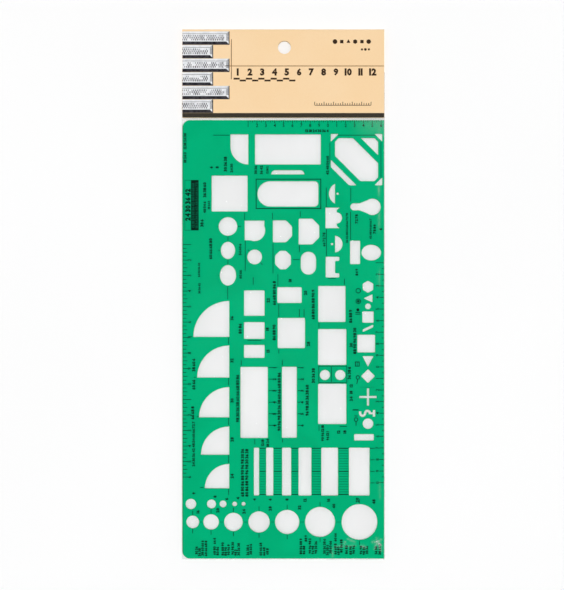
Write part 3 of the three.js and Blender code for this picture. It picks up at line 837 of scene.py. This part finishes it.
# Creases in the front of the film: start x, start y, end x, end y, height, half width
CREASES = [
    (28.0, -138.6, 40.0, -138.1, 0.1, 0.4), (33.6, -137.4, 34.2, -135.8, 0.22, 0.4),
    (35.2, -134.2, 39.6, -136.4, 0.18, 0.4), (42.6, -138.0, 45.8, -139.2, 0.2, 0.4),
    (52.0, -136.0, 48.6, -136.3, 0.28, 0.35), (52.0, -136.0, 54.2, -138.6, 0.32, 0.35),
    (52.0, -136.0, 51.2, -133.6, 0.28, 0.35), (52.0, -136.0, 53.9, -141.2, 0.28, 0.35),
    (52.0, -136.0, 50.0, -140.2, 0.26, 0.35), (52.0, -136.0, 54.2, -134.6, 0.26, 0.35),
    (27.0, -145.4, 27.2, -139.4, 0.09, 0.4), (52.6, 92.0, 52.6, 84.0, 0.1, 0.4),
    (52.6, 62.0, 52.6, 54.0, 0.16, 0.4), (52.7, 48.0, 52.7, 36.0, 0.14, 0.4),
    (52.8, 14.0, 52.8, 4.0, 0.08, 0.4), (53.0, -104.0, 53.3, -112.0, 0.1, 0.4),
]
# A crease runs on past each end by this share of its length
CREASE_FADE = 0.2
# A crease so many mm high takes the whitest painted highlight that the film gets
BRIGHTEST_CREASE = 0.3


def spaced(low, high, step):
    """Places from low up to but without high, as near to a step apart as fits."""
    count = max(1, round((high - low) / step))
    return [low + (high - low) * index / count for index in range(count)]


def crease(x, y, start_x, start_y, end_x, end_y, height, width):
    """How far a crease lifts the film at a point. It is a sharp ridge that fades towards its ends."""
    run, rise = end_x - start_x, end_y - start_y
    share = ((x - start_x) * run + (y - start_y) * rise) / (run * run + rise * rise)
    if not -CREASE_FADE < share < 1 + CREASE_FADE:
        return 0.0
    held = min(1.0, max(0.0, share))
    away = math.hypot(x - start_x - held * run, y - start_y - held * rise)
    fade = math.sin(math.pi * (CREASE_FADE + share) / (1 + 2 * CREASE_FADE))
    return height * math.exp(-away / width) * fade


def film_creased(x, y):
    """How far all the creases together lift the front of the film."""
    return sum(crease(x, y, *ridge) for ridge in CREASES)


def film_waves(x, y, waves):
    """How far slow waves move the film off its flat lie."""
    moved = 0.0
    for high, wide, long, layer in waves:
        moved += high * (1 + noise.noise(Vector((x / wide, y / long, layer))))
    return moved


def looseness(gap, reach):
    """How loose the film is so far from where it is held: 0 there, and 1 from a reach on."""
    return min(1.0, max(0.0, gap / reach))


def side_fold(side, flat, under, radius):
    """Points round one side of the tube: down the right side, 1, or up the left side, -1."""
    turns = [math.pi * step / FOLD_STEPS for step in range(1, FOLD_STEPS)]
    return [(side * (flat + radius * math.sin(t)), under + radius * (1 + side * math.cos(t))) for t in turns]


def film_mesh():
    """One layer of film as a flattened tube, open at its head and foot."""
    half = film_high.x / MM - FILM_HALF
    foot, head = film_low.y / MM, film_high.y / MM
    top, under = film_high.z / MM - FILM_HALF, film_low.z / MM + FILM_HALF
    radius = (top - under) / 2
    flat = half - radius
    across = spaced(-flat, flat - FINE_SIDE, WIDE_STEP) + spaced(flat - FINE_SIDE, flat, FINE_STEP) + [flat]
    along = spaced(foot, foot + FINE_FOOT, FINE_STEP) + spaced(foot + FINE_FOOT, head, LONG_STEP) + [head]
    work = bmesh.new()
    crease_highlight = work.verts.layers.float.new(HIGHLIGHT_LAYER)
    rings = []
    for y in along:
        loose = looseness(card_low.y / MM - y, CALM_AT_CARD)
        front, back = [], []
        for x in across:
            slack = loose * looseness(flat - abs(x), CALM_AT_SIDE)
            front.append((x, top + slack * (film_waves(x, y, FRONT_WAVES) + film_creased(x, y))))
            back.append((x, under - slack * film_waves(x, y, BACK_WAVES)))
        ring = front + side_fold(1, flat, under, radius) + back[::-1] + side_fold(-1, flat, under, radius)
        rings.append([work.verts.new((x * MM, y * MM, z * MM)) for x, z in ring])
        # Painted highlight along the creases, growing with their height
        for x, vertex in zip(across, rings[-1]):
            vertex[crease_highlight] = min(1.0, film_creased(x, y) / BRIGHTEST_CREASE)
    for first, second in zip(rings, rings[1:]):
        for index in range(len(first)):
            after = (index + 1) % len(first)
            work.faces.new((first[index], first[after], second[after], second[index])).smooth = True
    bmesh.ops.recalc_face_normals(work, faces=work.faces)
    return mesh_from(work, "film_sleeve")


sleeve = new_piece("film_sleeve", film_mesh(), clear_film(), "pack")
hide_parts("poly_bag")


# The header card and its printing

# How far the card's edges are eased, and how far printing keeps off them
CARD_EASE = 0.05
CARD_MARGIN = 0.06

# The card's length, the part of it that rounds off into the fold, and the dark bar at its foot
CARD_DEEP = (card_high.y - card_low.y) / MM
FOLD_DEEP = (card_high.z - card_low.z) / MM / 2
BAR_DEEP = 2.5

# The level rule as left, right and down, the upright one as across, top and foot, and their width
LEVEL_RULE = (23.2, 110.9, 20.3)
UPRIGHT_RULE = (27.0, 5.6, 27.6)
RULE = 0.42

# Numbered scale under the level rule, and a bar scale below it as left, right, top and foot
CARD_SCALE_FIRST = 30.5
CARD_SCALE_STEP = 6.75
CARD_SCALE_NUMBERS = 12
CARD_SCALE_DOWN = 23.6
CARD_SCALE_DIGIT = 4.0
BAR_SCALE = (28.2, 62.2, 26.8, 28.8)
BAR_SCALE_PARTS = 10

# Rows of small plain shapes at the top right: first across, down, step, radius, and each shape's corners
TRIANGLE, SQUARE, HEXAGON, OCTAGON, ROUND = 3, 4, 6, 8, CIRCLE_STEPS
SHAPE_ROWS = [
    (84.0, 6.9, 3.7, 1.3, (ROUND, SQUARE, TRIANGLE, HEXAGON, SQUARE, OCTAGON)),
    (98.8, 11.2, 1.9, 0.75, (SQUARE, ROUND, SQUARE)),
]
# Squares stand on a side, and the other shapes have a corner at the top
SQUARE_TURN = math.pi / 4
CORNER_UP = -math.pi / 2

# A fine tick row at the lower right: left, right, down; parts, how many to a long tick, long and short reach
TICK_ROW = (72.8, 103.8, 41.9)
TICK_ROW_PARTS = 24
TICK_ROW_LONG = 4
TICK_ROW_REACH = (1.9, 1.2)

# Stone quoins down the left side: courses, lengths of stones, joints, slanted margins and their hatching
COURSE_COUNT = 6
LONG_STONE = 26.0
SHORT_STONE = 17.0
JOINT = 0.5
SLANT = 1.3
HATCH_STEP = 0.6
HATCH = 0.3

# Tooling marks on a stone: steps across and down, and a mark's width and length at most
TOOL_STEP = (1.0, 1.35)
TOOL_MARK = (0.5, 1.15)
# Where a row of them starts, and how far every other row is shifted, in steps
TOOL_START = 0.25
TOOL_SHIFT = 0.5
# How dense they are: at the upper left, more to the right, more to the foot, and more or less in patches
TOOL_DENSE = 0.3
DENSE_RIGHT = 0.3
DENSE_FOOT = 0.25
DENSE_PATCH = 0.9
# A mark is left out where they are less dense than this
LEAST_DENSE = 0.2
# How wide and high the patches are, and how far they change from stone to stone
PATCH_SIZE = (2.3, 1.7)
PATCH_CHANGE = 3.1


def card_bar():
    marks = card_print()
    marks.block(CARD_MARGIN, CARD_DEEP - BAR_DEEP, CARD_WIDE - CARD_MARGIN, CARD_DEEP - CARD_MARGIN)
    return marks


def card_rules():
    marks = card_print()
    start, end, down = LEVEL_RULE
    marks.stroke((start, down), (UPRIGHT_RULE[0] - RULE / 2, down), RULE)
    marks.stroke((UPRIGHT_RULE[0] + RULE / 2, down), (end, down), RULE)
    across, up, foot = UPRIGHT_RULE
    marks.stroke((across, up), (across, foot), RULE)
    return marks


def number_scale(marks):
    for index in range(CARD_SCALE_NUMBERS):
        across = CARD_SCALE_FIRST + index * CARD_SCALE_STEP
        marks.number(str(index + 1), (across, CARD_SCALE_DOWN), CARD_SCALE_DIGIT)


def bar_scale(marks):
    """Blocks by turns in an upper and a lower row."""
    left, right, up, foot = BAR_SCALE
    part = (right - left) / BAR_SCALE_PARTS
    middle = (up + foot) / 2
    for index in range(BAR_SCALE_PARTS):
        rows = (up, middle) if index % 2 == 0 else (middle, foot)
        marks.block(left + index * part, rows[0], left + (index + 1) * part, rows[1])


def shape_rows(marks):
    for across, down, step, radius, shapes in SHAPE_ROWS:
        for index, corners in enumerate(shapes):
            turn = SQUARE_TURN if corners == SQUARE else CORNER_UP
            marks.disc((across + index * step, down), radius, corners, turn)


def tick_row(marks):
    left, right, down = TICK_ROW
    long_reach, short_reach = TICK_ROW_REACH
    for index in range(TICK_ROW_PARTS + 1):
        place = left + (right - left) * index / TICK_ROW_PARTS
        reach = long_reach if index % TICK_ROW_LONG == 0 else short_reach
        marks.stroke((place, down - LINE / 2), (place, down - reach), LINE)
    marks.stroke((left, down), (right, down), LINE)


def card_scales():
    marks = card_print()
    number_scale(marks)
    bar_scale(marks)
    shape_rows(marks)
    tick_row(marks)
    return marks


def stones():
    """Each stone as its left, top, right and foot, from under the rounded fold down to the bar."""
    deep = (CARD_DEEP - BAR_DEEP - FOLD_DEEP) / COURSE_COUNT
    for course in range(COURSE_COUNT):
        up = FOLD_DEEP + course * deep
        right = LONG_STONE if course % 2 == 0 else SHORT_STONE
        yield CARD_MARGIN, up + CARD_MARGIN, right, up + deep - CARD_MARGIN


def quoin_faces():
    marks = card_print()
    for stone in stones():
        marks.block(*stone)
    return marks


def quoin_sides(marks, left, up, right, foot):
    """A stone's joints, its dark foot margin, and its right margin in level hatching."""
    wall, base = right - JOINT, foot - JOINT
    marks.block(left, base, right, foot)
    marks.block(wall, up, right, base)
    marks.shape([(left, base - SLANT), (wall - SLANT, base - SLANT), (wall, base), (left, base)])
    for index in range(1, int((base - SLANT - up) / HATCH_STEP)):
        down = up + index * HATCH_STEP
        marks.stroke((wall - min(SLANT, down - up), down), (wall, down), HATCH)
    marks.stroke((left, up + SLANT), (wall - SLANT, up + SLANT), FINE_LINE)


def quoin_tooling(marks, order, left, up, right, foot):
    """Upright tooling marks on a stone's face, in staggered rows that grow denser towards its lower right."""
    wide, deep = TOOL_MARK
    right -= JOINT + SLANT + wide
    foot -= JOINT + SLANT + deep / 2
    up += SLANT + deep / 2
    rows = int((foot - up) / TOOL_STEP[1]) + 1
    for row in range(rows):
        down = up + (row + 0.5) * (foot - up) / rows
        for index in range(int((right - left) / TOOL_STEP[0])):
            across = left + (index + TOOL_START + TOOL_SHIFT * (row % 2)) * TOOL_STEP[0]
            patch = noise.noise(Vector((across / PATCH_SIZE[0], down / PATCH_SIZE[1], PATCH_CHANGE * order)))
            dense = TOOL_DENSE + DENSE_RIGHT * (across - left) / (right - left)
            dense = dense + DENSE_FOOT * row / rows + DENSE_PATCH * patch
            if dense > LEAST_DENSE:
                size = min(1.0, (1 + dense) / 2)
                reach = deep * size / 2
                marks.stroke((across, down - reach), (across, down + reach), wide * size)


def quoin_shading():
    """Engraved strokes on the stones."""
    marks = card_print(layer=1)
    for order, stone in enumerate(stones()):
        quoin_sides(marks, *stone)
        quoin_tooling(marks, order, *stone)
    return marks


card_mesh = softened_copy("header_card", "hang_card", CARD_EASE)
card = new_piece("hang_card", card_mesh, tan_card(), "pack")
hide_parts("header_card")
dark_ink = printing("dark_card_ink", thin=srgb(66, 61, 52), full=srgb(52, 48, 42))
brown_ink = printing("brown_card_ink", thin=srgb(66, 50, 36), full=srgb(50, 37, 28))
rule_ink = printing("card_rule_ink", thin=srgb(150, 112, 78), full=srgb(112, 84, 56), size=6.0)
stone_ink = printing("stone_ink", thin=srgb(222, 224, 228), full=srgb(240, 240, 242), size=2.5)
shade_ink = printing("stone_shade_ink", thin=srgb(66, 65, 70), full=srgb(34, 33, 38), size=1.5)
card_bar().piece("card_bar", dark_ink, "pack")
card_rules().piece("card_rules", rule_ink, "pack")
card_scales().piece("card_scales", brown_ink, "pack")
quoin_faces().piece("card_quoin_faces", stone_ink, "pack")
quoin_shading().piece("card_quoin_shading", shade_ink, "pack")

tape = adhesive_tape()
for strip in ("front_tape", "back_tape"):
    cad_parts[strip].data.materials.clear()
    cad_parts[strip].data.materials.append(tape)


# Floor, light and camera, with lengths in metres

# How far the floor reaches each way, and how far it lies under the part
FLOOR_REACH = 3.0
FLOOR_DROP = 0.0001

# The room's brightness at its walls and ceiling, and how far up it changes: 0 is level and 1 straight up
WALL_LIGHT = 0.95
CEILING_LIGHT = 0.22
WALL_END = (0.12, 0.35)
DARK_MIDDLE = (0.94, 0.97)

# The overhead light: its strength, its breadth in degrees, and its height
OVERHEAD_LIGHT = 2.2
OVERHEAD_BREADTH = 10
OVERHEAD_UP = 2.0

# Small lamps: power in watts, size, and place
LAMP_POWER = 0.6
LAMP_SIZE = 0.09
LAMPS = {
    "lamp_left": (-0.75, 0.2, 1.15),
    "lamp_right": (0.75, 0.2, 1.15),
    "lamp_front": (0.2, -0.75, 1.15),
}

# Strip lights: power in watts, length, breadth, and place
STRIP_POWER = 1.2
STRIP_LENGTH = 1.4
STRIP_BREADTH = 0.1
STRIPS = {
    "strip_head": (0, 1.6, 0.85),
    "strip_foot": (0, -1.6, 0.85),
    "strip_left": (-1.6, 0, 0.85),
    "strip_right": (1.6, 0, 0.85),
}

# The camera: focal length and sensor width in mm, and place
CAMERA_LENS = 100
CAMERA_SENSOR = 36
CAMERA_PLACE = (-0.0007, -0.0003, 0.9035)


def floor():
    mesh = bpy.data.meshes.new("floor")
    sides = (-FLOOR_REACH, FLOOR_REACH)
    mesh.from_pydata([(x, y, 0) for x in sides for y in sides], [], [(0, 2, 3, 1)])
    mesh.materials.append(white_floor())
    ground = bpy.data.objects.new("floor", mesh)
    ground.location.z = -FLOOR_DROP
    bpy.context.scene.collection.objects.link(ground)


def room_light():
    """White walls, dimmer towards the ceiling, which is dark in the middle so that gloss has no glare."""
    world = bpy.data.worlds.new("room")
    bpy.context.scene.world = world
    world.use_nodes = True
    tree = world.node_tree
    direction = add(tree, "ShaderNodeTexCoord").outputs["Generated"]
    height = add(tree, "ShaderNodeSeparateXYZ", Vector=direction).outputs["Z"]
    walls = spread(tree, height, WALL_LIGHT, CEILING_LIGHT, *WALL_END)
    middle = spread(tree, height, 1.0, 0.0, *DARK_MIDDLE)
    strength = arithmetic(tree, "MULTIPLY", walls, middle)
    feed(tree, tree.nodes["Background"].inputs["Strength"], strength)
    tree.nodes["Background"].inputs["Color"].default_value = (1, 1, 1, 1)


def overhead_light():
    """Soft light from straight above. It is left out of reflections, as a cross-polarised studio lamp is."""
    lamp = bpy.data.lights.new("overhead_light", "SUN")
    lamp.energy = OVERHEAD_LIGHT
    lamp.angle = math.radians(OVERHEAD_BREADTH)
    holder = bpy.data.objects.new("overhead_light", lamp)
    holder.location.z = OVERHEAD_UP
    holder.visible_glossy = False
    bpy.context.scene.collection.objects.link(holder)


def side_lamp(name, place, power, size):
    """A lamp that faces the part."""
    lamp = bpy.data.lights.new(name, "AREA")
    lamp.energy = power
    lamp.size = size
    holder = bpy.data.objects.new(name, lamp)
    holder.location = place
    holder.rotation_euler = (-Vector(place)).to_track_quat("-Z", "Y").to_euler()
    bpy.context.scene.collection.objects.link(holder)
    return holder


def strip_light(name, place):
    """A long low lamp that shows only as a reflection in the film and the plastic."""
    holder = side_lamp(name, place, STRIP_POWER, STRIP_LENGTH)
    holder.data.shape = "RECTANGLE"
    holder.data.size_y = STRIP_BREADTH
    holder.visible_diffuse = False


def camera():
    data = bpy.data.cameras.new("camera")
    data.lens = CAMERA_LENS
    data.sensor_width = CAMERA_SENSOR
    holder = bpy.data.objects.new("camera", data)
    holder.location = CAMERA_PLACE
    bpy.context.scene.collection.objects.link(holder)
    bpy.context.scene.camera = holder


floor()
room_light()
overhead_light()
for name, place in LAMPS.items():
    side_lamp(name, place, LAMP_POWER, LAMP_SIZE)
for name, place in STRIPS.items():
    strip_light(name, place)
camera()
bpy.context.scene.view_settings.view_transform = "Standard"
